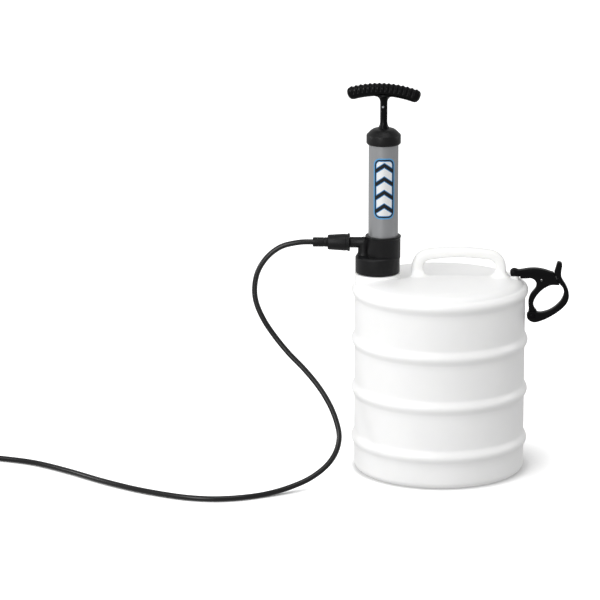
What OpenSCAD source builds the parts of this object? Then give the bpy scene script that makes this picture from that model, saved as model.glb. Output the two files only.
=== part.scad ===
// Hand vacuum fluid extractor: a ribbed blow-moulded tank, a plunger pump screwed on
// its neck, a suction hose on a push-fit collar, and a hinged ring clip for the hose.
// Origin on the floor at the tank axis, +Z up, -X towards the pump, -Y towards the front.

/* [Tank] */
// Outside radius of the tank wall
tank_r = 100; // [95:1:130]
// Height of the flat rear part of the tank top
tank_h = 225.5; // [180:0.5:300]
// Thickness of the tank wall
tank_wall = 2; // [1.5:0.1:3]
// Rounding at the foot of the tank
foot_round = 8; // [5:0.5:12]
// Rounding of the tank shoulder
shoulder_round = 12; // [8:0.5:15]
// Number of hoop ribs
rib_count = 4; // [2:1:5]
// Arc radius of one hoop rib
rib_arc = 11; // [9:0.5:14]
// How far a rib stands out of the wall
rib_proud = 3.5; // [2:0.5:5]
// Height of the lowest rib
rib_first_z = 37.7; // [30:0.1:45]
// Distance of the highest rib below the flat top
rib_last_drop = 9.6; // [8:0.1:14]
// Rise of the front crown above the flat rear top
crown_rise = 6.8; // [4:0.1:9]

/* [Tank handle] */
// Thickness of the handle bar
handle_d = 13; // [10:0.5:16]
// Distance between the centres of the handle legs
handle_span = 97; // [90:1:105]
// Place of the handle's middle to the right of the tank axis
handle_x = 22.3; // [18:0.1:26]
// Height of the bar's centre line above the ridge
handle_rise = 28; // [25:0.1:40]

/* [Neck] */
// Outside radius of the neck at the thread root
neck_r = 21.8; // [19:0.1:26]
// Thickness of the neck's wall
neck_wall = 2.4; // [1.8:0.1:3]
// Height of the neck above its seat
neck_h = 15.5; // [13:0.5:20]

/* [Pump] */
// Outside radius of the pump barrel
barrel_r = 17.4; // [16:0.1:24]
// Thickness of the barrel wall
barrel_wall = 2; // [1.2:0.1:2.5]
// Travel of the plunger, from which the pump barrel takes its length
stroke = 105; // [70:1:150]
// Radius of the piston rod
rod_r = 3; // [2.5:0.1:3.5]
// Length of the T-handle from tip to tip
grip_l = 87.3; // [70:0.1:110]
// Thickness of the T-handle
grip_d = 15.7; // [13:0.1:18]
// Angle by which the right end of the T-handle is turned to the front at rest
grip_turn = 12; // [0:1:90]

/* [Hose] */
// Outside diameter of the suction hose
hose_d = 6.4; // [6:0.1:6.8]
// Outside diameter of the hose port
port_d = 12.7; // [12:0.1:13]

/* [Clip] */
// Width of the hose clip
clip_w = 9; // [8:0.5:12]
// Radius of the clip's hinge pin
clip_pin_r = 2; // [1.6:0.1:2.2]

/* [Hidden] */
$fn = 96;
eps = 0.01;

// Fits: a radial gap for what runs, for what is only pushed together, and for what is free
run_gap = 0.06;
push_gap = 0.03;
free_gap = 0.4;

// Tank
ridge_z = tank_h + crown_rise;
crown_round = shoulder_round + 5;
rib_last_z = tank_h - rib_last_drop;
rib_in = rib_arc - rib_proud;
top_rib_arc = 2 * rib_proud;
handle_pad_z = ridge_z + 0.7;
handle_pad_r = handle_d / 2 + 2;
handle_mid_z = ridge_z + handle_rise;
handle_half = handle_span / 2;
handle_corner = 15;
handle_arch_r = 230;
handle_end_turn = asin((handle_half - handle_corner) / (handle_arch_r - handle_corner));
handle_corner_z = handle_mid_z - handle_arch_r
                  + (handle_arch_r - handle_corner) * cos(handle_end_turn);

// Neck and the pump head that screws on it
seat_z = tank_h + 9.5;
neck_bore_r = neck_r - neck_wall;
neck_top = seat_z + neck_h;
bead_r = 1;
gasket_t = 2;
head_z = neck_top + gasket_t;
skirt_bore = neck_r + bead_r + 0.5;
skirt_r = skirt_bore + 2.75;
neck_seat_r = skirt_r + 0.95;
neck_x = -(tank_r - neck_seat_r + 0.2);
skirt_top = head_z + 3.7;
pump_in = 6.4;
pump_x = neck_x + pump_in;
barrel_bore = barrel_r - barrel_wall;
socket_r = barrel_r + 2.95;
socket_top = skirt_top + 23.8;
valve_port_r = 5;
barrel_seat = 5.8;
floor_z = skirt_top + barrel_seat;

// Side port, its elbow and the spigot that the collar slides on
port_z = socket_top - 9;
port_r = port_d / 2;
passage_r = 3;
elbow_out = neck_bore_r - passage_r - 0.2;
elbow_x = neck_x - elbow_out;
elbow_r = port_r + 0.45;
port_end = elbow_x - 16;
spigot_r = 5;
spigot_l = 21.5;
ring_t = 0.6;

// Inlet valve and float
disc_r = 8;
disc_t = 1.2;
disc_lift = 1.5;
cage_r = 10;
cage_l = 40.5;
cage_wall = 1.5;
ball_r = 7.2;

// Plunger, and the barrel that is as long as the pushed-down piston, its travel and the stop
shank_r = rod_r - 0.8;
rod_end = floor_z + 5.6;
nut_z = rod_end + 0.6;
nut_t = 4.2;
washer_z = nut_z + nut_t + 0.2;
washer_t = 1.4;
cup_z = washer_z + washer_t;
cup_base = 2.5;
cup_h = 9;
cup_lip = 1.8;
piston_h = 14;
piston_top = cup_z + piston_h;
hub_r = 6;
bump_h = 4;
stroke_spare = 2;
roof_gap = 1.5;
barrel_l = piston_top - floor_z + stroke + stroke_spare + bump_h - roof_gap;
barrel_top = floor_z + barrel_l;

// Cap: the barrel's end seats in it, and the bush and the wiper sit in its centre
cap_z = barrel_top - 8.5;
cap_edge_z = barrel_top + 3.5;
cap_top = barrel_top + 10.2;
cap_roof = barrel_top + roof_gap;
cap_wall = 2.67;
cap_r = barrel_r + push_gap + cap_wall;
bush_r = 6;
wiper_t = 2.4;
bush_top = cap_top - wiper_t - 0.3;
bump_r = 12;

// Label on the front of the barrel
label_z = socket_top + 22;
label_h = cap_z - label_z - 13;
label_turn = -82;
label_sweep = 100;
label_t = 0.15;

// T-handle
stem_r = rod_r + 1.3;
stem_z = cap_top + 0.2;
grip_z = cap_top + 45.55;
grip_arc = 126;
grip_tip_turn = asin(grip_l / 2 / (grip_arc + 1));
rod_top = grip_z - 14;
pin_r = 1.2;
pin_z = rod_top - 6;

// Hose connector
collar_x = port_end - 0.2;
collar_l = 26;
sleeve_l = 17.5;
hose_r = hose_d / 2;
hose_x = collar_x - collar_l - sleeve_l;

// Route of the hose: out of the sleeve, down in one stiff curve, and along the floor
route = [[hose_x, 0, port_z], [-166, 0, 270.2], [-186, 0, 265], [-202, -1, 253], [-213, -2, 236],
         [-217, -4, 217], [-215, -7, 199], [-206, -11, 179], [-192, -15, 159], [-176, -21, 141],
         [-157, -28, 123], [-140, -36, 104], [-127, -46, 85], [-119, -56, 67], [-116, -66, 52],
         [-120, -77, 37], [-131, -89, 24], [-150, -103, 13], [-175, -118, 6], [-201, -134, hose_r],
         [-227, -147, hose_r], [-254, -153, hose_r], [-280, -151, hose_r], [-307, -142, hose_r],
         [-348, -120, hose_r], [-391, -88, hose_r], [-435, -49, hose_r], [-478, -17, hose_r],
         [-521, 0, hose_r], [-560, 10, hose_r]];
route_steps = 2;
coil_turns = 2.8;
coil_pitch = hose_d + 0.2;
coil_out = 46.5;
coil_in = coil_out - coil_pitch * coil_turns;
coil_at = [-573, -34.5];

// Clip, in its own plane: x to the right and y up from the top of the tank shoulder
clip_at = [tank_r - 13, ridge_z];
clip_gap = 0.5;
stud_r = 2.5;
stud_head_r = 5;
boss_r = 5.5;
boss_z = clip_at.y - 13;
stud_l = 9.5;
hinge = [21.4, -48];
ring_low = [34, -31.3];
ring_high = [46.4, -21.9];
ring_in = 11.65;
ring_out = 17.45;
knuckle_r = 6.4;
eye_w = 3;

// ---------- helpers ----------
module at_pump(z = 0) {
    translate([pump_x, 0, z]) children();
}

module ring(r_out, r_in, h) {
    difference() {
        cylinder(r = r_out, h = h);
        translate([0, 0, -1]) cylinder(r = r_in, h = h + 2);
    }
}

// A shape drawn in the XZ plane, from y = -w/2 to y = w/2
module upright(w) {
    translate([0, w / 2, 0]) rotate([90, 0, 0]) linear_extrude(w) children();
}

// Points of an arc in the XZ plane about a centre, in n equal steps
function arc(centre, bend, from, to, n) = [for (k = [0 : n]) let (a = from + (to - from) * k / n)
    centre + bend * [cos(a), 0, sin(a)]];

// A smooth curve through the points of a route, which leaves the first one along -X
function tangent(p, i) = i == 0 ? p[1] - p[0]
    : i == len(p) - 1 ? p[i] - p[i - 1] : (p[i + 1] - p[i - 1]) / 2;
function slope(p, i) = i == 0 ? [-norm(p[1] - p[0]), 0, 0] : tangent(p, i);
function between(p, i, t) =
    (2 * t * t * t - 3 * t * t + 1) * p[i] + (t * t * t - 2 * t * t + t) * slope(p, i)
    + (3 * t * t - 2 * t * t * t) * p[i + 1] + (t * t * t - t * t) * slope(p, i + 1);
function smooth(p, n) = [for (i = [0 : len(p) - 2]) for (k = [0 : n - 1]) between(p, i, k / n),
                         p[len(p) - 1]];

// The side direction of each ring of a tube, carried along the curve without twist
function unit(v) = v / norm(v);
function sides(p, i, v) = i == len(p) ? []
    : let (t = unit(tangent(p, i)), s = unit(v - (v * t) * t)) concat([s], sides(p, i + 1, s));

// A round tube of n sides swept through the points p, with its radius at each of them
module tube(p, r, n) {
    s = sides(p, 0, [0, 1, 0]);
    points = [for (i = [0 : len(p) - 1]) let (u = cross(unit(tangent(p, i)), s[i]))
        for (k = [0 : n - 1]) p[i] + r[i] * (cos(360 * k / n) * s[i] + sin(360 * k / n) * u)];
    last = n * (len(p) - 1);
    faces = concat([[for (k = [0 : n - 1]) k]], [[for (k = [n - 1 : -1 : 0]) last + k]],
        [for (i = [0 : len(p) - 2]) for (k = [0 : n - 1])
            [n * i + k, n * (i + 1) + k, n * (i + 1) + (k + 1) % n, n * i + (k + 1) % n]]);
    polyhedron(points, faces);
}

// ---------- tank ----------
function rib_z(i) = rib_first_z + i * (rib_last_z - rib_first_z) / (rib_count - 1);

module rounded_profile(top, rnd, inset) {
    r = tank_r - inset;
    translate([0, inset]) square([tank_r - foot_round, top - 2 * inset]);
    translate([0, foot_round]) square([r, top - foot_round - rnd]);
    translate([tank_r - foot_round, foot_round]) circle(foot_round - inset);
    translate([tank_r - rnd, top - rnd]) circle(rnd - inset);
}

module tank_profile(inset) {
    difference() {
        rounded_profile(tank_h, shoulder_round, inset);
        translate([tank_r - shoulder_round, tank_h - inset]) square(shoulder_round);
    }
    for (i = [0 : rib_count - 2])
        translate([tank_r - rib_in, rib_z(i)]) circle(rib_arc - inset);
    translate([tank_r + rib_proud - top_rib_arc, rib_last_z]) circle(top_rib_arc - inset);
}

// The front half of the top rises to a ridge just behind the axis and drops behind it
module crown(inset) {
    intersection() {
        rotate_extrude() rounded_profile(ridge_z, crown_round, inset);
        rotate([90, 0, 90]) translate([0, -inset, -tank_r]) linear_extrude(2 * tank_r)
            polygon([[-tank_r, tank_h - 15], [-tank_r, ridge_z - 2], [0, ridge_z],
                     [3, ridge_z - 0.6], [15, tank_h], [15, tank_h - 15]]);
    }
}

module tank_space(inset) {
    rotate_extrude() tank_profile(inset);
    crown(inset);
    translate([neck_x, 0, rib_last_z])
        cylinder(r = neck_seat_r - inset, h = seat_z - inset - rib_last_z);
}

module tank_shell() {
    color("whitesmoke") difference() {
        union() {
            difference() {
                tank_space(0);
                tank_space(tank_wall);
            }
            translate([neck_x, 0, seat_z - tank_wall]) cylinder(r = neck_r, h = neck_h + tank_wall);
            for (k = [0 : 2]) translate([neck_x, 0, seat_z + 4 + 4 * k]) rotate_extrude()
                translate([neck_r, 0]) circle(bead_r, $fn = 32);
            for (s = [-1, 1]) translate([handle_x + s * handle_half, 0, tank_h - tank_wall])
                cylinder(r = handle_pad_r, h = handle_pad_z - tank_h + tank_wall);
            translate([clip_at.x, 0, boss_z]) cylinder(r = boss_r, h = clip_at.y + 0.2 - boss_z);
        }
        translate([neck_x, 0, seat_z - tank_wall - 1]) cylinder(r = neck_bore_r, h = neck_h + 9);
        translate([clip_at.x, 0, boss_z + 2.5]) cylinder(r = stud_r, h = 15);
    }
}

module tank_handle() {
    side = [handle_half - handle_corner, 0, handle_corner_z];
    foot = [handle_half, 0, handle_pad_z];
    right = concat([foot], arc(side, handle_corner, 0, 90 - handle_end_turn, 8));
    top = arc([0, 0, handle_mid_z - handle_arch_r], handle_arch_r, 90 - handle_end_turn,
              90 + handle_end_turn, 8);
    left = [for (k = [len(right) - 1 : -1 : 0]) [-right[k].x, 0, right[k].z]];
    line = concat(right, [for (k = [1 : len(top) - 2]) top[k]], left);
    color("whitesmoke") translate([handle_x, 0, 0])
        tube(line, [for (p = line) handle_d / 2], 24);
}

// ---------- pump head ----------
module neck_gasket() {
    color("dimgray") translate([neck_x, 0, neck_top])
        ring(neck_r - 0.2, neck_bore_r + 0.2, gasket_t);
}

module valve_body() {
    color([0.12, 0.12, 0.13]) difference() {
        union() {
            translate([neck_x, 0, seat_z + 0.5]) rotate_extrude() polygon([[0, 0],
                [skirt_r - 1, 0], [skirt_r, 1], [skirt_r, skirt_top - seat_z - 1.7],
                [skirt_r - 1.2, skirt_top - seat_z - 0.5], [0, skirt_top - seat_z - 0.5]]);
            at_pump(head_z) cylinder(r = socket_r, h = socket_top - head_z);
            translate([elbow_x, 0, skirt_top - 2]) cylinder(r = elbow_r, h = port_z - skirt_top + 2);
            translate([elbow_x, 0, port_z]) sphere(elbow_r);
            translate([pump_x, 0, port_z]) rotate([0, -90, 0])
                cylinder(r = port_r, h = pump_x - port_end);
            translate([port_end + eps, 0, port_z]) rotate([0, -90, 0])
                cylinder(r = spigot_r, h = spigot_l);
        }
        translate([neck_x, 0, seat_z - 1]) cylinder(r = skirt_bore, h = head_z - seat_z + 1);
        at_pump(floor_z) cylinder(r = barrel_r + push_gap, h = barrel_l);
        at_pump(head_z - 1) cylinder(r = valve_port_r, h = floor_z - head_z + 2);
        at_pump(floor_z + 8) rotate_extrude() translate([barrel_r - 1, 0])
            square([2.5, 2.4]);
        translate([elbow_x, 0, head_z - 1]) cylinder(r = passage_r, h = port_z - head_z + 1);
        translate([elbow_x, 0, port_z]) sphere(passage_r);
        translate([elbow_x, 0, port_z]) rotate([0, -90, 0]) cylinder(r = passage_r, h = 50);
        translate([port_end - 13, 0, port_z]) rotate([0, -90, 0])
            ring(spigot_r + 1, spigot_r - 0.9, 1.6);
    }
}

module barrel() {
    color("darkgray") at_pump(floor_z) ring(barrel_r, barrel_bore, barrel_l);
}

module barrel_o_ring() {
    color("dimgray") at_pump(floor_z + 9.2) rotate_extrude()
        translate([barrel_r + 0.8, 0]) circle(0.7, $fn = 32);
}

module barrel_label() {
    color("steelblue") at_pump(label_z) rotate([0, 0, label_turn - label_sweep / 2])
        rotate_extrude(angle = label_sweep) translate([barrel_r, 0]) square([label_t, label_h]);
}

module barrel_cap() {
    color([0.12, 0.12, 0.13]) at_pump() difference() {
        translate([0, 0, cap_z]) rotate_extrude() polygon([[0, 0], [cap_r - 0.6, 0],
            [cap_r, 0.6], [cap_r, cap_edge_z - cap_z - 1.5], [cap_r - 1.5, cap_edge_z - cap_z],
            [9.6, cap_top - cap_z - 0.4], [8.6, cap_top - cap_z], [0, cap_top - cap_z]]);
        translate([0, 0, cap_z - 1]) cylinder(r = barrel_r + push_gap, h = barrel_top - cap_z + 1);
        translate([0, 0, barrel_top - 1]) cylinder(r = barrel_bore, h = cap_roof - barrel_top + 1);
        translate([0, 0, cap_roof - 1]) cylinder(r = bush_r + push_gap, h = 20);
        translate([11, 0, cap_roof - 1]) cylinder(r = 0.8, h = 20);
    }
}

module rod_bush() {
    color("ivory") at_pump(cap_roof) ring(bush_r, rod_r + run_gap, bush_top - cap_roof);
}

module rod_wiper() {
    color("dimgray") at_pump(bush_top) ring(bush_r, rod_r + run_gap, wiper_t);
}

module bump_stop() {
    color("dimgray") at_pump(cap_roof - bump_h) ring(bump_r, rod_r + 1.5, bump_h);
}

// ---------- plunger ----------
module t_handle() {
    grip = arc([0, 0, grip_z - grip_arc], grip_arc, 90 + grip_tip_turn, 90 - grip_tip_turn, 24);
    radii = [for (k = [0 : 24]) let (out = max(0, abs(k - 12) - 10) / 2)
        grip_d / 2 * sqrt(1 - 0.8 * out * out)];
    color([0.12, 0.12, 0.13]) at_pump() rotate([0, 0, -grip_turn]) difference() {
        union() {
            tube(grip, radii, 20);
            translate([0, 0, stem_z]) cylinder(r = stem_r, h = grip_z - stem_z);
            translate([0, 0, stem_z]) cylinder(r1 = stem_r + 2, r2 = stem_r, h = 5);
            translate([0, 0, grip_z - 14]) cylinder(r1 = stem_r, r2 = stem_r + 6, h = 8);
        }
        translate([0, 0, stem_z - 1]) cylinder(r = rod_r + push_gap, h = rod_top - stem_z + 1);
        translate([0, 0, pin_z]) rotate([90, 0, 0])
            cylinder(r = pin_r + push_gap, h = 20, center = true);
    }
}

module piston_rod() {
    color("silver") at_pump() difference() {
        union() {
            translate([0, 0, rod_end]) cylinder(r = shank_r, h = rod_top - rod_end);
            translate([0, 0, piston_top + 0.1]) cylinder(r = rod_r, h = rod_top - piston_top - 0.2);
        }
        translate([0, 0, pin_z]) rotate([0, 0, -grip_turn]) rotate([90, 0, 0])
            cylinder(r = pin_r + push_gap, h = 20, center = true);
    }
}

module rod_pin() {
    color("silver") at_pump(pin_z) rotate([0, 0, -grip_turn]) rotate([90, 0, 0])
        cylinder(r = pin_r, h = 2 * stem_r, center = true);
}

module piston() {
    color("gray") at_pump() difference() {
        union() {
            translate([0, 0, cup_z]) cylinder(r = hub_r, h = cup_base);
            translate([0, 0, cup_z + cup_base])
                cylinder(r = barrel_bore - cup_lip - free_gap, h = piston_top - cup_z - cup_base);
            translate([0, 0, cup_z + cup_h + 0.5])
                cylinder(r = barrel_bore - free_gap, h = piston_top - cup_z - cup_h - 0.5);
        }
        translate([0, 0, cup_z - 1]) cylinder(r = shank_r + run_gap, h = 20);
    }
}

module piston_cup() {
    color("dimgray") at_pump(cup_z) difference() {
        cylinder(r = barrel_bore - run_gap, h = cup_h);
        translate([0, 0, cup_base]) cylinder(r = barrel_bore - cup_lip, h = cup_h);
        translate([0, 0, -1]) cylinder(r = hub_r + push_gap, h = cup_h);
    }
}

module piston_washer() {
    color("silver") at_pump(washer_z) ring(11, shank_r + run_gap, washer_t);
}

module piston_nut() {
    color("silver") at_pump(nut_z) difference() {
        cylinder(r = 5, h = nut_t, $fn = 6);
        translate([0, 0, -1]) cylinder(r = shank_r + push_gap, h = nut_t + 2);
    }
}

// ---------- inlet valve and overfill float ----------
module inlet_valve_disc() {
    color("dimgray") at_pump(floor_z) cylinder(r = disc_r, h = disc_t);
}

module inlet_valve_retainer() {
    bar_z = disc_t + disc_lift + 0.2;
    color("ivory") at_pump(floor_z) {
        ring(barrel_bore - 0.1, disc_r + 3, bar_z + 1.6);
        translate([0, 0, bar_z]) cylinder(r = 3.5, h = 1.6);
        for (k = [0 : 2]) rotate([0, 0, 120 * k]) translate([3, -1, bar_z + 0.2])
            cube([disc_r + 1, 2, 1.2]);
    }
}

module float_cage() {
    color("ivory") at_pump(head_z - cage_l) difference() {
        union() {
            cylinder(r = cage_r, h = cage_l);
            translate([0, 0, cage_l - 2]) cylinder(r = cage_r + 1.5, h = 2);
        }
        translate([0, 0, 2]) cylinder(r = cage_r - cage_wall, h = cage_l);
        translate([0, 0, -1]) cylinder(r = 4, h = 4);
        for (k = [0 : 3]) rotate([0, 0, 45 + 90 * k]) translate([0, -3, 8])
            cube([cage_r + 2, 6, cage_l - 16]);
    }
}

module float_ball() {
    color("white") at_pump(head_z - cage_l + 2 + ball_r) sphere(ball_r);
}

// ---------- hose ----------
module connector_collar() {
    color([0.12, 0.12, 0.13]) translate([collar_x, 0, port_z]) rotate([0, -90, 0]) difference() {
        union() {
            cylinder(r1 = 10.15, r2 = 8.55, h = collar_l);
            cylinder(r = 10.6, h = 2.4);
        }
        translate([0, 0, -1]) cylinder(r = spigot_r + ring_t - 0.25, h = spigot_l + 2.5);
        cylinder(r = passage_r, h = collar_l + 1);
    }
}

module hose_sleeve() {
    color([0.12, 0.12, 0.13]) translate([collar_x - collar_l, 0, port_z]) rotate([0, -90, 0])
        ring(5.6, 2, sleeve_l);
}

module port_o_ring() {
    color("dimgray") translate([port_end - 13.8, 0, port_z]) rotate([0, -90, 0])
        rotate_extrude() translate([spigot_r - 0.3, 0]) circle(ring_t, $fn = 32);
}

module suction_hose() {
    hose_line = smooth(route, route_steps);
    color([0.08, 0.08, 0.08]) tube(hose_line, [for (p = hose_line) hose_r], 8);
}

module hose_coil() {
    color([0.08, 0.08, 0.08]) translate([coil_at.x, coil_at.y, 0])
        ring(coil_out + hose_r, coil_in - hose_r, hose_d);
}

// ---------- clip ----------
function bow(centre, r, from) = [for (k = [0 : 16]) centre + r * [cos(from + 180 * k / 16),
                                                                  sin(from + 180 * k / 16)]];

module ring_slot(r) {
    d = ring_high - ring_low;
    lean = atan2(d.y, d.x);
    polygon(concat(bow(ring_high, r, lean - 90), bow(ring_low, r, lean + 90)));
}

// The side of the ring that swings with the gate
module gate_side(shift) {
    translate([-shift, shift] * 0.7) polygon([[8, -48], hinge, [28, -43.3], [53.4, -10.2],
        [46.6, 4.5], [46.6, 30], [80, 30], [80, -80], [8, -80]]);
}

module clip_plane(w) {
    translate([clip_at.x, 0, clip_at.y]) upright(w) children();
}

module clip_body() {
    color([0.12, 0.12, 0.13]) union() {
        clip_plane(clip_w) difference() {
            union() {
                intersection() {
                    ring_slot(ring_out);
                    translate([0, -39]) square([60, 60]);
                }
                polygon([[0, 0.3], [boss_r + 0.4, 0.3], [boss_r + 1.5, -2.2], [18.8, -2],
                         [22.5, -3.6], [25, -7], [25.8, -13], [40, -8], [56, -9], [46.3, 4.6],
                         [40, 6.6], [32, 8.6], [25, 9.4], [16, 9.2], [8, 7.6], [2, 7.4]]);
            }
            ring_slot(ring_in);
            gate_side(clip_gap);
            translate(hinge) circle(knuckle_r + clip_gap);
            translate([31.6, -4.4]) circle(1.4);
        }
        clip_plane(eye_w) difference() {
            union() {
                polygon([[16.4, -47], [17.2, -36], [22.6, -36], [25.2, -42]]);
                translate(hinge) circle(knuckle_r - 0.6);
            }
            translate(hinge) circle(clip_pin_r);
            ring_slot(ring_in);
        }
        translate([clip_at.x, 0, clip_at.y]) {
            rotate_extrude() polygon([[0, 0.3], [3.4, 0.3], [stud_head_r, 2.4],
                [stud_head_r, 6], [3.8, 8.3], [2, 9.3], [0, 9.3]]);
            translate([0, 0, -stud_l]) cylinder(r = stud_r - push_gap, h = stud_l + 3.5);
        }
    }
}

module clip_gate() {
    color([0.12, 0.12, 0.13]) difference() {
        clip_plane(clip_w) union() {
            difference() {
                polygon([hinge, [22, -55], [29.3, -54.6], [44.6, -47.4], [55.1, -39.4],
                         [61.9, -31.4], [63.8, -25], [63.8, -18.5], [60.4, -11.1],
                         [57.7, -7.4], [56.7, -4.7], [54.3, 1.7], [55.6, 14.7],
                         [54, 16.9], [50.2, 17.2], [46.6, 4.5], [53.4, -10.2], [28, -43.3]]);
                ring_slot(ring_in);
            }
            translate(hinge) circle(knuckle_r);
        }
        clip_plane(eye_w + 2 * free_gap) translate(hinge) circle(knuckle_r + clip_gap);
        translate([clip_at.x + hinge.x, 0, clip_at.y + hinge.y]) rotate([90, 0, 0])
            cylinder(r = clip_pin_r + run_gap, h = 2 * clip_w, center = true);
    }
}

module clip_pin() {
    color([0.2, 0.2, 0.2]) translate([clip_at.x + hinge.x, 0, clip_at.y + hinge.y])
        rotate([90, 0, 0]) {
            cylinder(r = clip_pin_r, h = clip_w + 1, center = true);
            for (s = [-1, 1]) translate([0, 0, s * (clip_w / 2 + 0.9)])
                cylinder(r = clip_pin_r + 1.7, h = 1, center = true);
        }
}

tank_shell();
tank_handle();
neck_gasket();
valve_body();
barrel();
barrel_o_ring();
barrel_label();
barrel_cap();
rod_bush();
rod_wiper();
bump_stop();
t_handle();
piston_rod();
rod_pin();
piston();
piston_cup();
piston_washer();
piston_nut();
inlet_valve_disc();
inlet_valve_retainer();
float_cage();
float_ball();
connector_collar();
hose_sleeve();
port_o_ring();
suction_hose();
hose_coil();
clip_body();
clip_gate();
clip_pin();
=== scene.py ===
from math import asin, atan2, cos, hypot, pi, radians, sin, sqrt

import bpy
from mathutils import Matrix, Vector


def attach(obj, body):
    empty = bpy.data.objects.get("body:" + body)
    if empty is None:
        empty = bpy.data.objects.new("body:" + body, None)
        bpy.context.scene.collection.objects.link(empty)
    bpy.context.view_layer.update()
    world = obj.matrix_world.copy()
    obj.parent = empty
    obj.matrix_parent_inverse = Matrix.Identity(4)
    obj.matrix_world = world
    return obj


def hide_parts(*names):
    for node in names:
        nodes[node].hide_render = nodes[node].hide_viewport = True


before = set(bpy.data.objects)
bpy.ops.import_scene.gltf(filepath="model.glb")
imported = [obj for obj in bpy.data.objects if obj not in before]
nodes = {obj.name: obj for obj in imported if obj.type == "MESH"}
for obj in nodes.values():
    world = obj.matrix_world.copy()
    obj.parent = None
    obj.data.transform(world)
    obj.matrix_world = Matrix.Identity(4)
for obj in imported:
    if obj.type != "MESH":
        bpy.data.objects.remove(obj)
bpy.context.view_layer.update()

MM = 0.001


# ---------- camera ----------
def make_camera():
    lens = bpy.data.cameras.new("camera")
    lens.sensor_width = 36
    lens.lens = 245.6
    lens.clip_end = 40
    camera = bpy.data.objects.new("camera", lens)
    camera.location = (-0.0059, -4.648, 1.408)
    camera.rotation_euler = (pi / 2 - 0.254, 0, 0.034)
    bpy.context.scene.collection.objects.link(camera)
    bpy.context.scene.camera = camera


make_camera()


# ---------- sizes, in millimetres, as in the CAD ----------
TANK_R, TANK_TOP, TANK_WALL = 100, 225.5, 2
RIB_HALF, RIB_PROUD = 10, 3.5
RIB_FIRST, RIB_LAST = 37.7, 215.9
RIB_HEIGHTS = [RIB_FIRST + k * (RIB_LAST - RIB_FIRST) / 3 for k in range(4)]
TOP_RIB_R, TOP_RIB_ARC = 96.5, 7
RIDGE_Z = 232.3
NECK_X, NECK_R, NECK_BORE = -73.2, 21.8, 19.4
SEAT_R, SEAT_Z, NECK_TOP = 27, 235, 250.5
PUMP_X, ELBOW_X, PORT_Z = -66.8, -89.4, 271
# The barrel's seat is pushed on, with 0.03 mm around the barrel
SOCKET_TOP, BARREL_FLOOR, BARREL_R, BARREL_SEAT = 280, 262, 17.4, 17.43
CAP_Z, CAP_TOP, CAP_R = 389, 407.7, 20.1
COLLAR_X, COLLAR_L = -105.6, 26
HOSE_R = 3.2
GRIP_Z, GRIP_ARC, GRIP_L, GRIP_R = 453.25, 126, 87.3, 7.85
CLIP_X, CLIP_WIDTH, HINGE = 87, 9, (108.4, 184.3)
UP, LEFT, BACK = Vector((0, 0, 1)), Vector((-1, 0, 0)), Vector((0, 1, 0))


def mm(x, y, z):
    return Vector((x, y, z)) * MM


# ---------- small modelling steps ----------
def none_selected():
    if bpy.context.object and bpy.context.object.mode != "OBJECT":
        bpy.ops.object.mode_set(mode="OBJECT")
    bpy.ops.object.select_all(action="DESELECT")


def only(piece):
    none_selected()
    piece.select_set(True)
    bpy.context.view_layer.objects.active = piece


def started(name):
    """The primitive that was just added, under its own name and in edit mode, all selected."""
    piece = bpy.context.active_object
    piece.name = piece.data.name = name
    bpy.ops.object.mode_set(mode="EDIT")
    bpy.ops.mesh.select_all(action="SELECT")
    return piece


def closed():
    """Merges the seams and poles of the piece in edit mode and turns its faces outwards."""
    bpy.ops.mesh.select_all(action="SELECT")
    bpy.ops.mesh.remove_doubles(threshold=3e-6)
    bpy.ops.mesh.normals_make_consistent(inside=False)
    bpy.ops.object.mode_set(mode="OBJECT")


def modified(piece, kind, **settings):
    only(piece)
    modifier = piece.modifiers.new(kind, kind)
    for key, value in settings.items():
        setattr(modifier, key, value)
    bpy.ops.object.modifier_apply(modifier=modifier.name)
    return piece


def bevelled(piece, width, segments=3, angle=28):
    return modified(piece, "BEVEL", width=width * MM, segments=segments, limit_method="ANGLE",
                    angle_limit=radians(angle), use_clamp_overlap=True)


def combined(piece, tool, operation):
    """The piece with the tool added to it (UNION) or cut out of it (DIFFERENCE)."""
    modified(piece, "BOOLEAN", object=tool, operation=operation, solver="EXACT")
    bpy.data.objects.remove(tool)
    return piece


def turned(name, profile, centre, axis=UP, steps=96):
    """A profile of (radius, height along the axis) points, extruded from one vertex and spun."""
    out = Vector((1, 0, 0)) if axis == UP else UP
    if profile[0][0] > 0:
        profile = profile + [profile[0]]
    points = [centre + (out * r + axis * h) * MM for r, h in profile]
    none_selected()
    bpy.ops.mesh.primitive_plane_add(size=0.01)
    piece = started(name)
    bpy.ops.mesh.merge(type="CENTER")
    bpy.ops.transform.translate(value=points[0])
    for start, end in zip(points, points[1:]):
        bpy.ops.mesh.extrude_region_move(TRANSFORM_OT_translate={"value": end - start})
    bpy.ops.mesh.select_all(action="SELECT")
    bpy.ops.mesh.spin(steps=steps, angle=2 * pi, center=centre, axis=axis)
    closed()
    return piece


def wrapped(name, rings, sides, place):
    """A grid rolled into a closed skin: place(ring number, angle) gives each point, in mm."""
    none_selected()
    bpy.ops.mesh.primitive_grid_add(x_subdivisions=rings - 1, y_subdivisions=sides, size=2)
    piece = bpy.context.active_object
    piece.name = piece.data.name = name
    for point in piece.data.vertices:
        ring = round((point.co.x + 1) / 2 * (rings - 1))
        side = round((point.co.y + 1) / 2 * sides) % sides
        point.co = Vector(place(ring, 2 * pi * side / sides)) * MM
    bpy.ops.object.mode_set(mode="EDIT")
    closed()
    return piece


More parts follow.
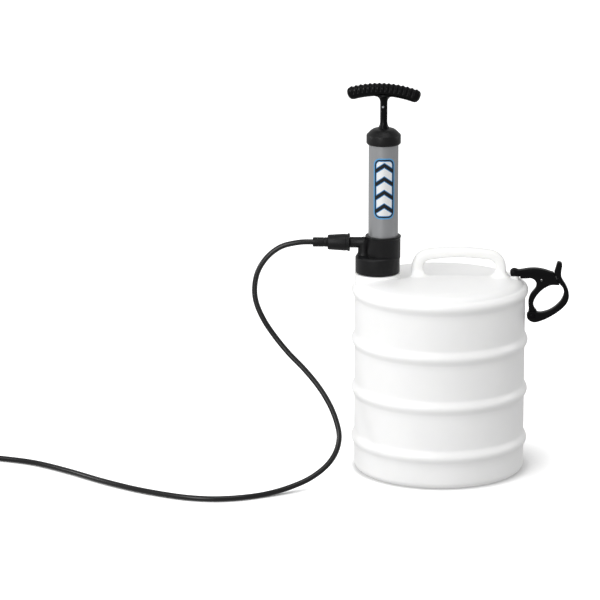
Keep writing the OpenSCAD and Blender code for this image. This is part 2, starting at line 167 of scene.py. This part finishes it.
def plate(name, outline, width, edge):
    """A closed outline in the XZ plane, in mm, filled and extruded to a rounded plate."""
    shape = bpy.data.curves.new(name, "CURVE")
    shape.dimensions = "2D"
    shape.fill_mode = "BOTH"
    shape.extrude = (width / 2 - edge) * MM
    shape.bevel_depth = edge * MM
    shape.bevel_resolution = 2
    shape.offset = -edge * MM
    spline = shape.splines.new("POLY")
    spline.points.add(len(outline) - 1)
    spline.use_cyclic_u = True
    for point, (x, z) in zip(spline.points, outline):
        point.co = (x * MM, z * MM, 0, 1)
    piece = bpy.data.objects.new(name, shape)
    piece.rotation_euler = (pi / 2, 0, 0)
    bpy.context.scene.collection.objects.link(piece)
    only(piece)
    bpy.ops.object.convert(target="MESH")
    bpy.ops.object.transform_apply(location=True, rotation=True, scale=True)
    bpy.ops.object.mode_set(mode="EDIT")
    closed()
    return piece


def rounded(points, steps=4):
    """A closed outline drawn smoothly through its points."""
    line = []
    count = len(points)
    for k in range(count):
        before, start, end, after = (Vector(points[(k + j) % count]) for j in (-1, 0, 1, 2))
        for step in range(steps):
            t = step / steps
            line.append(tuple(0.5 * (2 * start + (end - before) * t
                                     + (2 * before - 5 * start + 4 * end - after) * t * t
                                     + (3 * start - before - 3 * end + after) * t ** 3)))
    return line


def finished(piece, body, material, angle=35):
    """Smooth shading, the finish, the body it rides on and the record's material slot."""
    only(piece)
    bpy.ops.object.shade_smooth_by_angle(angle=radians(angle))
    piece.data.materials.clear()
    piece.data.materials.append(material)
    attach(piece, body)


def soft_max(a, b, blend):
    near = max(blend - abs(a - b), 0) / blend
    return max(a, b) + near * near * blend / 4


def soft_min(a, b, blend):
    return -soft_max(-a, -b, blend)


# ---------- materials ----------
def linear(code):
    """An sRGB hex colour as linear RGBA."""
    parts = [int(code[k:k + 2], 16) / 255 for k in (0, 2, 4)]
    return [c / 12.92 if c <= 0.04045 else ((c + 0.055) / 1.055) ** 2.4 for c in parts] + [1]


def add(tree, kind, links=None, out=0, **settings):
    """Adds a node with its settings, and its inputs as links or values, and gives its output."""
    made = tree.nodes.new(kind)
    for key, value in settings.items():
        setattr(made, key, value)
    for key, value in (links or {}).items():
        if isinstance(value, bpy.types.NodeSocket):
            tree.links.new(value, made.inputs[key])
        else:
            made.inputs[key].default_value = value
    return made.outputs[out]


def shaded(name, **values):
    """A new material with one Principled shader, whose constant inputs are set on it."""
    material = bpy.data.materials.new(name)
    material.use_nodes = True
    tree = material.node_tree
    shader = tree.nodes["Principled BSDF"]
    for key, value in values.items():
        shader.inputs[key.replace("_", " ")].default_value = value
    return material, tree, shader


def moulded(name, dark, light, rough, grain, depth, mottle=30.0, stretch=(1, 1, 1), **values):
    """Plastic or rubber out of a mould: mottled colour, uneven gloss and a fine grain, in mm."""
    material, tree, shader = shaded(name, **values)
    place = add(tree, "ShaderNodeTexCoord", out="Object")
    place = add(tree, "ShaderNodeMapping", {"Vector": place, "Scale": stretch})
    cloud = add(tree, "ShaderNodeTexNoise", {"Vector": place, "Scale": 1 / (mottle * MM),
                                             "Detail": 4.0, "Roughness": 0.6})
    colour = add(tree, "ShaderNodeMix", {"Factor": cloud, "A": linear(dark), "B": linear(light)},
                 out="Result", data_type="RGBA")
    gloss = add(tree, "ShaderNodeMapRange", {"Value": cloud, "From Min": 0.3, "From Max": 0.7,
                                             "To Min": rough - 0.05, "To Max": rough + 0.05})
    fine = add(tree, "ShaderNodeTexNoise", {"Vector": place, "Scale": 1 / (grain * MM),
                                            "Detail": 2.0})
    bump = add(tree, "ShaderNodeBump", {"Height": fine, "Distance": depth * MM, "Strength": 1.0},
               out="Normal")
    tree.links.new(colour, shader.inputs["Base Color"])
    tree.links.new(gloss, shader.inputs["Roughness"])
    tree.links.new(bump, shader.inputs["Normal"])
    return material


# Blow-moulded high-density polyethylene: milky white, satin, with a soft orange peel that is
# drawn coarser than the real one so that it shows
hdpe = moulded("hdpe_blow_moulded", "EFEFEE", "F8F8F7", 0.42, 2.4, 0.03, mottle=60,
               IOR=1.54, Subsurface_Weight=0.12, Subsurface_Radius=(0.006, 0.006, 0.005),
               Subsurface_Scale=1.0)
# Injection-moulded ABS with a spark-eroded grain: near black, half gloss
abs_black = moulded("abs_moulded_black", "0D0D0E", "141415", 0.38, 0.7, 0.02,
                   Specular_IOR_Level=0.2)
# The same ABS from a polished mould for the handle: darker, with a sharper sheen
abs_polished = moulded("abs_polished_black", "020203", "050506", 0.24, 0.9, 0.01,
                      Specular_IOR_Level=0.1)
# Glass-filled nylon, as-moulded: deep black, dull
nylon = moulded("nylon_moulded_black", "020203", "050506", 0.36, 0.6, 0.015,
               Specular_IOR_Level=0.12)
# Extruded polyethylene hose: glossy black with faint die lines along it
hose_skin = moulded("polyethylene_hose_black", "060607", "0C0C0D", 0.24, 1.6, 0.01,
                    Specular_IOR_Level=0.4)
# Drawn aluminium tube under silver paint: grey satin, its grain drawn out along its length
tube_grey = moulded("aluminium_tube_silver_paint", "939496", "9C9D9F", 0.36, 0.9, 0.01, mottle=12,
                    stretch=(1, 1, 0.08), Metallic=0.6)
# Nitrile rubber seals: matt charcoal
rubber = moulded("nitrile_rubber", "17181A", "212225", 0.72, 0.5, 0.02, IOR=1.52)
# Acetal homopolymer, moulded: slightly waxy ivory
acetal = moulded("acetal_moulded", "E4E1D6", "EFEDE4", 0.36, 0.8, 0.01, IOR=1.48)
# Cold-drawn steel rod, with its drawing lines along the rod
steel = moulded("steel_cold_drawn", "8C8F93", "B4B7BA", 0.27, 0.35, 0.006, mottle=2,
                stretch=(1, 1, 0.05), Metallic=1.0)


def label_print():
    """Screen-printed polyester film: a generic panel of upward chevrons, 26 mm by 72 mm."""
    material, tree, shader = shaded("polyester_film_printed", Metallic=0.6, Coat_Weight=0.25,
                                    Coat_Roughness=0.12)
    place = add(tree, "ShaderNodeTexCoord", out="Object")
    place = add(tree, "ShaderNodeMapping", {"Vector": place, "Location": mm(-PUMP_X, 0, -339)})
    axes = tree.nodes.new("ShaderNodeSeparateXYZ")
    tree.links.new(place, axes.inputs[0])

    def calc(operation, *values):
        return add(tree, "ShaderNodeMath", dict(enumerate(values)), operation=operation)

    turn = calc("ARCTAN2", axes.outputs["Y"], axes.outputs["X"])
    across = calc("MULTIPLY", calc("ABSOLUTE", calc("SUBTRACT", turn, radians(-86))), BARREL_R)
    up = calc("DIVIDE", axes.outputs["Z"], MM)
    over = calc("MAXIMUM", calc("SUBTRACT", calc("ABSOLUTE", up), 28.0), 0.0)
    side = calc("MAXIMUM", calc("SUBTRACT", across, 5.0), 0.0)
    reach = calc("SQRT", calc("ADD", calc("POWER", over, 2.0), calc("POWER", side, 2.0)))
    bent = calc("SUBTRACT", calc("ADD", up, 100.0), calc("MULTIPLY", across, -0.7))
    stripe = calc("PINGPONG", bent, 8.0)
    rim = calc("LESS_THAN", reach, 8.2)
    panel = calc("LESS_THAN", reach, 6.6)
    mark = calc("MULTIPLY", calc("LESS_THAN", reach, 4.2), calc("GREATER_THAN", stripe, 3.4))
    shadow = calc("MULTIPLY", calc("LESS_THAN", reach, 5.0), calc("GREATER_THAN", stripe, 2.4))
    cloud = add(tree, "ShaderNodeTexNoise", {"Vector": place, "Scale": 80.0, "Detail": 3.0})
    colour = add(tree, "ShaderNodeMix", {"Factor": cloud, "A": linear("939496"),
                                         "B": linear("9C9D9F")}, out="Result", data_type="RGBA")
    for mask, ink in ((rim, "5FA3D6"), (panel, "101318"), (shadow, "4C92CC"), (mark, "F2F4F5")):
        colour = add(tree, "ShaderNodeMix", {"Factor": mask, "A": colour, "B": linear(ink)},
                     out="Result", data_type="RGBA")
    gloss = add(tree, "ShaderNodeMapRange", {"Value": cloud, "To Min": 0.3, "To Max": 0.42})
    tree.links.new(colour, shader.inputs["Base Color"])
    tree.links.new(gloss, shader.inputs["Roughness"])
    return material


film = label_print()


# ---------- hose ----------
# The route leaves the sleeve along -X, drops in one stiff curve and runs along the floor
ROUTE = [(-149.1, 0, 271), (-166, 0, 270.2), (-186, 0, 265), (-202, -1, 253), (-213, -2, 236),
         (-217, -4, 217), (-215, -7, 199), (-206, -11, 179), (-192, -15, 159), (-176, -21, 141),
         (-157, -28, 123), (-140, -36, 104), (-127, -46, 85), (-119, -56, 67), (-116, -66, 52),
         (-120, -77, 37), (-131, -89, 24), (-150, -103, 13), (-175, -118, 6),
         (-201, -134, HOSE_R), (-227, -147, HOSE_R), (-254, -153, HOSE_R), (-280, -151, HOSE_R),
         (-307, -142, HOSE_R), (-348, -120, HOSE_R), (-391, -88, HOSE_R), (-435, -49, HOSE_R),
         (-478, -17, HOSE_R), (-521, 0, HOSE_R), (-560, 10, HOSE_R)]
HOSE_LENGTH = 1500
COIL = (-573, -34.5)
COIL_R, COIL_PITCH, COIL_STEPS = 46.5, 6.6, 24
HOSE_BORE = 2.0


def smooth_route(points, steps=6):
    points = [Vector(p) for p in points]
    slopes = [(points[min(k + 1, len(points) - 1)] - points[max(k - 1, 0)]) / 2
              for k in range(len(points))]
    slopes[0] = LEFT * (points[1] - points[0]).length
    slopes[-1] = points[-1] - points[-2]
    line = []
    for k in range(len(points) - 1):
        for step in range(steps):
            t = step / steps
            line.append((2 * t ** 3 - 3 * t * t + 1) * points[k]
                        + (t ** 3 - 2 * t * t + t) * slopes[k]
                        + (3 * t * t - 2 * t ** 3) * points[k + 1]
                        + (t ** 3 - t * t) * slopes[k + 1])
    return line + [points[-1]]


def hose_line():
    """The route, then turns wound inwards one diameter apart, until the whole length is used."""
    line = smooth_route(ROUTE)
    done = sum((b - a).length for a, b in zip(line, line[1:]))
    start = atan2(ROUTE[-1][1] - COIL[1], ROUTE[-1][0] - COIL[0])
    step = 0
    while True:
        step += 1
        radius = COIL_R - COIL_PITCH * step / COIL_STEPS
        turn = start + 2 * pi * step / COIL_STEPS
        point = Vector((COIL[0] + radius * cos(turn), COIL[1] + radius * sin(turn), HOSE_R))
        way = point - line[-1]
        if done + way.length > HOSE_LENGTH:
            line.append(line[-1] + way * (HOSE_LENGTH - done) / way.length)
            break
        done += way.length
        line.append(point)
    return line


def swept_frames(line):
    """For each point of a line, two directions square to it that turn with it without twist."""
    frames = []
    side = BACK
    for k, point in enumerate(line):
        along = (line[min(k + 1, len(line) - 1)] - line[max(k - 1, 0)]).normalized()
        side = (side - along * side.dot(along)).normalized()
        frames.append((side, along.cross(side)))
    return frames


def make_hose():
    """The tube, closed at the sleeve and cut off square at its far end, where its bore shows."""
    line = hose_line()
    frames = swept_frames(line)
    last = len(line) - 1
    ends = [(0, 0.0), (0, HOSE_R)] + [(k, HOSE_R) for k in range(1, last)]
    ends += [(last, HOSE_R - 0.3), (last, 2.3), (last - 1, HOSE_BORE), (last - 2, HOSE_BORE),
             (last - 2, 0.0)]

    def place(ring, angle):
        k, radius = ends[ring]
        side, up = frames[k]
        return line[k] + radius * (cos(angle) * side + sin(angle) * up)

    hose = wrapped("hose_run", len(ends), 20, place)
    finished(hose, "hose", hose_skin, 50)
    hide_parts("suction_hose", "hose_coil")


make_hose()


# ---------- tank ----------
def rib_radius(z):
    """Radius of the wall at a height, with the ribs blended into it."""
    near = min(abs(z - rib) for rib in RIB_HEIGHTS)
    if near > RIB_HALF:
        return TANK_R
    return TANK_R + RIB_PROUD * (0.5 + 0.5 * cos(pi * near / RIB_HALF))


def crown_height(x, y):
    """The front half of the top: it rises to a ridge just behind the axis, lower to the left."""
    r = hypot(x, y)
    if r > 98.8:
        return 0
    dome = 232.6 - 3.5 * (max(r - 62, 0) / 28) ** 2
    if r > 87.8:
        dome = min(dome, 218.2 + sqrt(11 ** 2 - (r - 87.8) ** 2))
    behind = y + min(0.0101 * min(x, 0) ** 2, 22)
    slope = soft_min(RIDGE_Z + 0.3 + behind * 0.02, 233.6 - 0.62 * behind, 1.6)
    return soft_min(dome, slope, 1.5)


def top_height(x, y):
    """Height of the tank's top above a point, with the upper flank of the highest rib."""
    r = hypot(x, y)
    flat = TANK_TOP if r < 88 else 213.5 + sqrt(max(12 ** 2 - (r - 88) ** 2, 0))
    height = soft_max(flat, crown_height(x, y), 2.4)
    if r > TOP_RIB_R:
        flank = sqrt(max(TOP_RIB_ARC ** 2 - (r - TOP_RIB_R) ** 2, 0))
        height = soft_max(height, RIB_HEIGHTS[3] + flank, 1.2)
    return height


def make_tank():
    """The blown shell: a wall with hoop ribs, a rounded foot, and the crowned top."""
    wall = [(0.0, 3.0), (40, 3.0), (74, 3.0), (79, 1.6), (82, 0.3), (84, 0.0), (90, 0.0)]
    wall += [(92 + 8 * sin(radians(9 * k)), 8 - 8 * cos(radians(9 * k))) for k in range(1, 10)]
    z = 9.0
    while z < 205:
        near = min(abs(z - rib) for rib in RIB_HEIGHTS)
        wall.append((rib_radius(z), z))
        z += 1.1 if near < 11.5 else 5.5
    wall += [(rib_radius(z), z) for z in (206.5, 208, 209.5, 211, 212.4, 213.6, 214.8, RIB_LAST)]
    wall += [(TOP_RIB_R + TOP_RIB_ARC * cos(radians(8 * k)),
              RIB_LAST + TOP_RIB_ARC * sin(radians(8 * k))) for k in range(1, 6)]
    inward = [101.3, 100.8, 100.3, 99.9, 99.5, 99.1, 98.7, 98.2, 97.6, 96.9, 96.1, 95.2, 94.2, 93,
              91.6, 90, 88.2, 86.2, 84, 81.6, 79] + [76.5 - 2.5 * k for k in range(30)] + [1.2, 0.0]
    wall += [(r, None) for r in inward]

    def place(ring, angle):
        r, z = wall[ring]
        x, y = r * cos(angle), r * sin(angle)
        return x, y, top_height(x, y) if z is None else z

    shell = wrapped("blown_tank", len(wall), 240, place)
    modified(shell, "SOLIDIFY", thickness=TANK_WALL * MM, offset=-1, use_even_offset=True)
    bore = turned("neck_bore", [(0, 0), (20.4, 0), (20.4, 50), (0, 50)], mm(NECK_X, 0, 212))
    combined(shell, bore, "DIFFERENCE")
    finished(shell, "tank", hdpe, 50)
    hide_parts("tank_shell")


def make_neck():
    """The raised seat and the neck, whose three rings stand for the pump's thread."""
    rings = []
    for k in range(3):
        z = 239 + 4 * k
        rings += [(NECK_R, z - 1.2), (22.7, z - 0.5), (22.7, z + 0.5), (NECK_R, z + 1.2)]
    profile = [(NECK_BORE, 219.5), (26.2, 219.5), (SEAT_R, 220.5), (SEAT_R, 233.8),
               (26.6, 234.7), (25.8, SEAT_Z), (22.4, SEAT_Z)]
    profile += rings + [(NECK_R, 250), (21.3, NECK_TOP), (19.9, NECK_TOP), (NECK_BORE, 250)]
    neck = turned("neck_and_seat", profile, mm(NECK_X, 0, 0), steps=120)
    finished(neck, "tank", hdpe)
    boss = turned("clip_boss", [(0, 219), (5.5, 219), (5.5, 231.4), (4.6, 232.4), (0, 232.4)],
                  mm(CLIP_X, 0, 0), steps=40)
    finished(boss, "tank", hdpe)


def make_carry_handle():
    """The loop handle, a flattened bar whose feet flare smoothly into the top."""
    middle_x, half, corner, arch = 22.3, 48.5, 15, 230
    thin, deep_half, left_extra, boxy = 6.2, 6.6, 0.9, 2.6
    mid_z = RIDGE_Z + 28
    lean = asin((half - corner) / (arch - corner))
    corner_z = mid_z - arch + (arch - corner) * cos(lean)
    stations = []
    flare = 9
    for k in range(9):
        turn = radians(90 * k / 8)
        stations.append(("foot", flare * (1 - sin(turn)), flare * (1 - cos(turn))))
    for k in range(9):
        turn = (pi / 2 - lean) * k / 8
        stations.append(("bar", half - corner + corner * cos(turn), corner_z + corner * sin(turn),
                         turn))
    for k in range(1, 12):
        turn = pi / 2 - lean + 2 * lean * k / 12
        stations.append(("bar", arch * cos(turn), mid_z - arch + arch * sin(turn), turn))
    mirrored = []
    for station in reversed(stations[:18]):
        if station[0] == "foot":
            mirrored.append(("left_foot",) + station[1:])
        else:
            mirrored.append(("bar", -station[1], station[2], pi - station[3]))
    stations += mirrored

    def section(angle):
        """A rounded, slightly boxy section: across the bar, and from front to back."""
        c, s = cos(angle), sin(angle)
        size = (abs(c) ** boxy + abs(s) ** boxy) ** (-1 / boxy)
        return size * c, size * s

    def place(ring, angle):
        station = stations[ring]
        out, deep = section(angle)
        if station[0] == "bar":
            kind, x, z, turn = station
            thick = thin if x > 0 else thin + left_extra * min(-x / half, 1)
            return (middle_x + x + thick * out * cos(turn), deep_half * deep,
                    z + thick * out * sin(turn))
        right = station[0] == "foot"
        foot_x = middle_x + (half if right else -half)
        thick = thin if right else thin + left_extra
        spread, rise = station[1], station[2]
        sign = 1 if right else -1
        x = foot_x + sign * (thick + spread) * out
        y = (deep_half + spread) * deep
        return x, y, top_height(x, y) + rise - 0.25

    bar = wrapped("carry_handle", len(stations), 32, place)
    finished(bar, "tank", hdpe, 60)
    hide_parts("tank_handle")


make_tank()
make_neck()
make_carry_handle()


# ---------- pump head ----------
def make_pump_foot():
    """The screwed skirt with the barrel socket, the elbow and the side port in one moulding."""
    skirt = turned("pump_foot", [(0, 252.5), (23.3, 252.5), (23.3, 235.5), (25, 235.5),
                                 (26.05, 236.6), (26.05, 254.2), (24.4, 256.2), (0, 256.2)],
                   mm(NECK_X, 0, 0), steps=120)
    bevelled(skirt, 0.35)
    socket = turned("socket", [(0, 253.2), (20.35, 253.2), (20.35, 277.4), (20.9, 278),
                               (20.9, 279.5), (20.4, SOCKET_TOP), (BARREL_SEAT, SOCKET_TOP),
                               (BARREL_SEAT, BARREL_FLOOR), (0, BARREL_FLOOR)],
                    mm(PUMP_X, 0, 0), steps=120)
    bevelled(socket, 0.25)
    elbow = turned("elbow", [(0, 253.6), (8.2, 253.6), (8.2, 256.8), (7.3, 258.2), (6.8, 260)]
                   + [(6.8 * cos(radians(a)), PORT_Z + 6.8 * sin(radians(a)))
                      for a in range(0, 90, 10)] + [(0, PORT_Z + 6.8)],
                   mm(ELBOW_X, 0, 0), steps=56)
    port = turned("port", [(0, 0), (6.35, 0), (6.35, 38.2), (5.9, 38.6), (5, 38.6), (5, 51),
                           (4.1, 51), (4.1, 53.2), (5, 53.2), (5, 59.3), (4.4, 60.1), (3, 60.1),
                           (3, 28), (0, 28)], mm(PUMP_X, 0, PORT_Z), axis=LEFT, steps=56)
    for part in (socket, elbow, port):
        combined(skirt, part, "UNION")
    for x, r, deep in ((PUMP_X, 5, 11), (ELBOW_X, 3, 18)):
        hole = turned("hole", [(0, 0), (r, 0), (r, deep), (0, deep)], mm(x, 0, 251), steps=32)
        combined(skirt, hole, "DIFFERENCE")
    bore = turned("barrel_bore", [(0, 0), (BARREL_SEAT, 0), (BARREL_SEAT, 20), (0, 20)],
                  mm(PUMP_X, 0, BARREL_FLOOR), steps=120)
    combined(skirt, bore, "DIFFERENCE")
    finished(skirt, "head", abs_black)
    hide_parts("valve_body")


def make_barrel_cap():
    dome = [(CAP_R - 10.5 * t, 399.2 + 8.1 * sin(pi / 2 * t) ** 0.9) for t in
            (0.16, 0.24, 0.34, 0.46, 0.6, 0.74, 0.88, 1.0)]
    cap = turned("dome_cap", [(BARREL_SEAT, CAP_Z), (19, CAP_Z), (CAP_R, 390.4), (CAP_R, 399.4),
                              (19.6, 400.6)]
                 + dome + [(8.6, CAP_TOP), (6.03, CAP_TOP), (6.03, 399), (15.4, 399),
                           (15.4, 397.5), (BARREL_SEAT, 397.5)], mm(PUMP_X, 0, 0), steps=120)
    bevelled(cap, 0.3)
    finished(cap, "head", abs_black)
    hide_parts("barrel_cap")


def make_connector():
    """The push-fit collar with its lip and grip ring, and the sleeve crimped on the hose."""
    collar = turned("push_collar", [(5.35, 0), (9.8, 0), (10.6, 0.6), (10.6, 1.9), (10.2, 2.5),
                                    (9.75, 2.7), (9.75, 4.9), (10.0, 5.2), (8.75, 24.6),
                                    (8.2, 26), (3, 26), (3, 24), (5.35, 24)],
                    mm(COLLAR_X, 0, PORT_Z), axis=LEFT, steps=72)
    bevelled(collar, 0.25)
    finished(collar, "hose", abs_black)
    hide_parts("connector_collar")
    sleeve = turned("crimp_sleeve", [(2, 0), (5.6, 0), (5.6, 3.4), (5.3, 3.8), (5.3, 4.6), (5.6, 5),
                                     (5.6, 16.6), (5, 17.4), (2, 17.4)],
                    mm(COLLAR_X - COLLAR_L, 0, PORT_Z), axis=LEFT, steps=56)
    bevelled(sleeve, 0.2)
    finished(sleeve, "hose", abs_black)
    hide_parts("hose_sleeve")


def make_grip():
    """The T-handle: an arched grip with finger flutes over its top, on a fluted stem."""
    half_turn = asin(GRIP_L / 2 / (GRIP_ARC + 1)) - 0.004
    rings, pitch, end_round, flute_deep = 260, 5.35, 7, 1.15
    tilt = radians(-12)

    def swing(x, y, z):
        return (PUMP_X + x * cos(tilt) - y * sin(tilt), x * sin(tilt) + y * cos(tilt), z)

    def place(ring, angle):
        part = 2 * ring / (rings - 1) - 1
        turn = part * half_turn
        length = turn * GRIP_ARC
        past = max(abs(length) - (half_turn * GRIP_ARC - end_round), 0) / end_round
        size = GRIP_R * max(1 - past ** 2.4, 0) ** (1 / 2.4)
        up = sin(angle)
        flute = 0.5 - 0.5 * cos(2 * pi * length / pitch)
        flute = flute ** 0.7
        reach = min(max((up + 0.25) / 0.3, 0), 1) * (1 - min(past * 1.5, 1))
        size -= flute_deep * flute * reach
        r = GRIP_ARC + size * up
        return swing(r * sin(turn), size * cos(angle), GRIP_Z - GRIP_ARC + r * cos(turn))

    grip = wrapped("t_grip", rings, 40, place)
    fillet = [(4.3 + 7 * (1 - cos(radians(a))), 438.6 + 7 * sin(radians(a)))
              for a in range(15, 91, 15)]
    foot = [(6.3, 407.9), (6.1, 408.9), (5.3, 410.4), (4.6, 412.4), (4.3, 415)]
    stem = turned("stem", [(0, 407.9)] + foot + [(4.3, z) for z in (424, 432, 438.6)] + fillet
                  + [(11.3, 448), (0, 449)], mm(PUMP_X, 0, 0), steps=80)
    for point in stem.data.vertices:
        x, y, z = point.co / MM
        x -= PUMP_X
        r = hypot(x, y)
        if r > 0.5:
            turn = atan2(y, x)
            flute = 0.35 * (0.5 + 0.5 * cos(8 * turn)) * (1 if 414 < z < 440 else 0)
            x, y = x * (r - flute) / r, y * (r - flute) / r
        if z > 440:
            y *= 1 - 0.35 * min((z - 440) / 6, 1)
        point.co = mm(*swing(x, y, z))
    combined(grip, stem, "UNION")
    bore = turned("rod_bore", [(0, 0), (3.03, 0), (3.03, 32.3), (0, 32.3)], mm(PUMP_X, 0, 407),
                  steps=48)
    combined(grip, bore, "DIFFERENCE")
    finished(grip, "handle", abs_polished, 50)
    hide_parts("t_handle")


make_pump_foot()
make_barrel_cap()
make_connector()
make_grip()


# ---------- hose clip ----------
ARM = [(81.8, 236.6), (83.4, 239.8), (87, 241), (90.6, 239.9), (95, 240), (104, 241.5),
       (113, 241.7), (122, 240.2), (129, 237.9), (133, 236.4), (136, 230), (139.6, 222.6),
       (131, 222.2), (125, 220), (118.4, 215.2), (112.6, 208.2), (109.6, 201), (110.6, 194.4),
       (113.6, 190.4), (110, 189.5), (105.6, 190.6), (104, 195), (103.9, 203.6), (106.6, 211),
       (111.6, 217.6), (112.8, 222.4), (111.4, 227), (107, 230), (100, 229.8), (94.4, 230),
       (92.9, 232.4), (84, 232.6)]
GATE = [(133.6, 236.8), (135.2, 243), (137, 249.2), (140.6, 249.2), (142.6, 246.6), (141.6, 238),
        (142, 231.4), (143.8, 227.4), (147.6, 221.2), (150.6, 213.4), (150.6, 205.4),
        (146.6, 197.4), (137, 188.8), (124, 181), (112.5, 177), (106, 178.4), (102.4, 182.4),
        (102.4, 187), (106.4, 190.4), (111.5, 190), (116, 188.7), (121, 189.1), (128, 191.4),
        (135, 196), (141.6, 203), (145, 211.4), (143.8, 218.8), (140.2, 223.2), (136.6, 230.4)]


def make_clip():
    hub = mm(HINGE[0], -10, HINGE[1])
    body = plate("clip_arm", rounded(ARM), CLIP_WIDTH, 0.7)
    room = turned("room", [(0, 0), (6.9, 0), (6.9, 20), (0, 20)], hub, axis=BACK, steps=48)
    combined(body, room, "DIFFERENCE")
    eye = plate("eye", rounded([(102.8, 184.3), (104.6, 180.2), (108.4, 178.6), (112.4, 180.2),
                                (114, 184.3), (112.6, 189.4), (110.4, 195), (105, 195),
                                (103.8, 189)]), 3, 0.2)
    combined(body, eye, "UNION")
    hole = turned("hole", [(0, 0), (1.4, 0), (1.4, 20), (0, 20)], mm(118.6, -10, 227.9), axis=BACK,
                  steps=24)
    combined(body, hole, "DIFFERENCE")
    stud = turned("stud", [(0, 222.8), (2.47, 222.8), (2.47, 232.6), (4.2, 233.4), (5, 235),
                           (5, 238), (3.9, 240.4), (2, 241.5), (0, 241.6)],
                  mm(CLIP_X, 0, 0), steps=40)
    combined(body, stud, "UNION")
    finished(body, "tank", nylon)
    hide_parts("clip_body")

    gate = plate("clip_latch", rounded(GATE), CLIP_WIDTH, 0.7)
    slot = turned("slot", [(0, 8.1), (6.9, 8.1), (6.9, 11.9), (0, 11.9)], hub, axis=BACK, steps=48)
    combined(gate, slot, "DIFFERENCE")
    pin_hole = turned("pin_hole", [(0, 0), (2.06, 0), (2.06, 20), (0, 20)], hub, axis=BACK,
                      steps=32)
    combined(gate, pin_hole, "DIFFERENCE")
    finished(gate, "gate", nylon)
    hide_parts("clip_gate")

    dome = [(3.7 * cos(radians(a)), 15.4 + 1.1 * sin(radians(a))) for a in range(0, 90, 15)]
    pin = turned("hinge_pin", [(0, 3.5)] + [(r, 20 - h) for r, h in reversed(dome)]
                 + [(3.7, 5.4), (2, 5.4), (2, 14.6), (3.7, 14.6)] + dome + [(0, 16.5)], hub,
                 axis=BACK, steps=32)
    finished(pin, "tank", abs_polished)
    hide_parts("clip_pin")


make_clip()


# ---------- finishes of the CAD nodes that stay ----------
FINISHES = {
    "neck_gasket": rubber, "barrel": tube_grey, "barrel_o_ring": rubber, "barrel_label": film,
    "rod_bush": acetal, "rod_wiper": rubber, "bump_stop": rubber, "piston_rod": steel,
    "rod_pin": steel, "piston": acetal, "piston_cup": rubber, "piston_washer": steel,
    "piston_nut": steel, "inlet_valve_disc": rubber, "inlet_valve_retainer": acetal,
    "float_cage": acetal, "float_ball": acetal, "port_o_ring": rubber,
}
for node_name, finish in FINISHES.items():
    kept = nodes[node_name]
    kept.data.materials.clear()
    kept.data.materials.append(finish)


# ---------- floor and light ----------
def make_studio():
    none_selected()
    bpy.ops.mesh.primitive_plane_add(size=16, location=(0, 3, 0))
    floor = bpy.context.active_object
    floor.name = "studio_floor"
    glow_floor_material, tree, shader = shaded("floor_glow_painted_shadow", Roughness=0.9, IOR=1.3,
                                 Emission_Color=(1, 1, 1, 1))
    place = add(tree, "ShaderNodeTexCoord", out="Object")
    cloud = add(tree, "ShaderNodeTexNoise", {"Vector": place, "Scale": 30.0, "Detail": 4.0})
    colour = add(tree, "ShaderNodeMix", {"Factor": cloud, "A": linear("D8D8D8"),
                                         "B": linear("DCDCDC")}, out="Result", data_type="RGBA")
    tree.links.new(colour, shader.inputs["Base Color"])
    # The floor glows, with a painted shadow: its emission is dimmed where ambient occlusion, sensed
    # toward the left and front, finds something standing on it, and dimmed most where something
    # touches it
    left_front = add(tree, "ShaderNodeCombineXYZ", {"X": -0.6, "Y": -0.3, "Z": 0.74})
    painted_shadow_openness = add(tree, "ShaderNodeAmbientOcclusion", {"Distance": 0.09, "Normal": left_front},
                   out="AO", samples=12)
    glow_and_painted_shadow = add(tree, "ShaderNodeMapRange", {"Value": painted_shadow_openness, "From Min": 0.3, "From Max": 0.93,
                                            "To Min": 0.02, "To Max": 0.75})
    # Painted contact shadow: the emission falls to nothing where the floor is occluded within 12 mm
    painted_contact_shadow = add(tree, "ShaderNodeAmbientOcclusion", {"Distance": 0.012}, out="AO", samples=12)
    painted_contact_shadow = add(tree, "ShaderNodeMapRange", {"Value": painted_contact_shadow, "From Min": 0.4, "From Max": 0.95,
                                               "To Min": 0.0, "To Max": 1.0})
    glow_and_painted_shadow = add(tree, "ShaderNodeMath", {0: glow_and_painted_shadow, 1: painted_contact_shadow}, operation="MULTIPLY")
    tree.links.new(glow_and_painted_shadow, shader.inputs["Emission Strength"])
    floor.data.materials.append(glow_floor_material)
    floor.visible_diffuse = floor.visible_glossy = False

    def lamp(name, place, aim, size, power):
        light = bpy.data.lights.new(name, "AREA")
        light.shape = "DISK"
        light.size = size
        light.energy = power
        holder = bpy.data.objects.new(name, light)
        holder.location = place
        holder.rotation_euler = (Vector(aim) - Vector(place)).to_track_quat("-Z", "Y").to_euler()
        bpy.context.scene.collection.objects.link(holder)

    lamp("key_softbox", (-1.7, -2.1, 2.5), (0, 0, 0.15), 2.2, 36)
    lamp("front_softbox", (-1.4, -3.4, 1.2), (0, 0, 0.15), 1.8, 28)
    lamp("left_strip", (-2.6, 0.3, 0.9), (0, 0, 0.2), 0.9, 13)
    lamp("right_strip", (2.4, 0.6, 0.9), (0, 0, 0.2), 0.7, 7)
    lamp("top_softbox", (0.3, -0.7, 2.8), (0, 0, 0.2), 1.6, 14)
    world = bpy.data.worlds.new("studio")
    world.use_nodes = True
    tree = world.node_tree
    around = add(tree, "ShaderNodeTexCoord", out="Generated")
    around = add(tree, "ShaderNodeSeparateXYZ", {"Vector": around}, out="X")
    around = add(tree, "ShaderNodeMapRange", {"Value": around, "From Min": -1.0, "From Max": 1.0,
                                              "To Min": 0.76, "To Max": 0.5})
    tree.links.new(around, tree.nodes["Background"].inputs["Strength"])
    tree.nodes["Background"].inputs["Color"].default_value = (1, 1, 1, 1)
    bpy.context.scene.world = world
    bpy.context.scene.view_settings.view_transform = "Standard"
    bpy.context.scene.view_settings.look = "None"


make_studio()
none_selected()
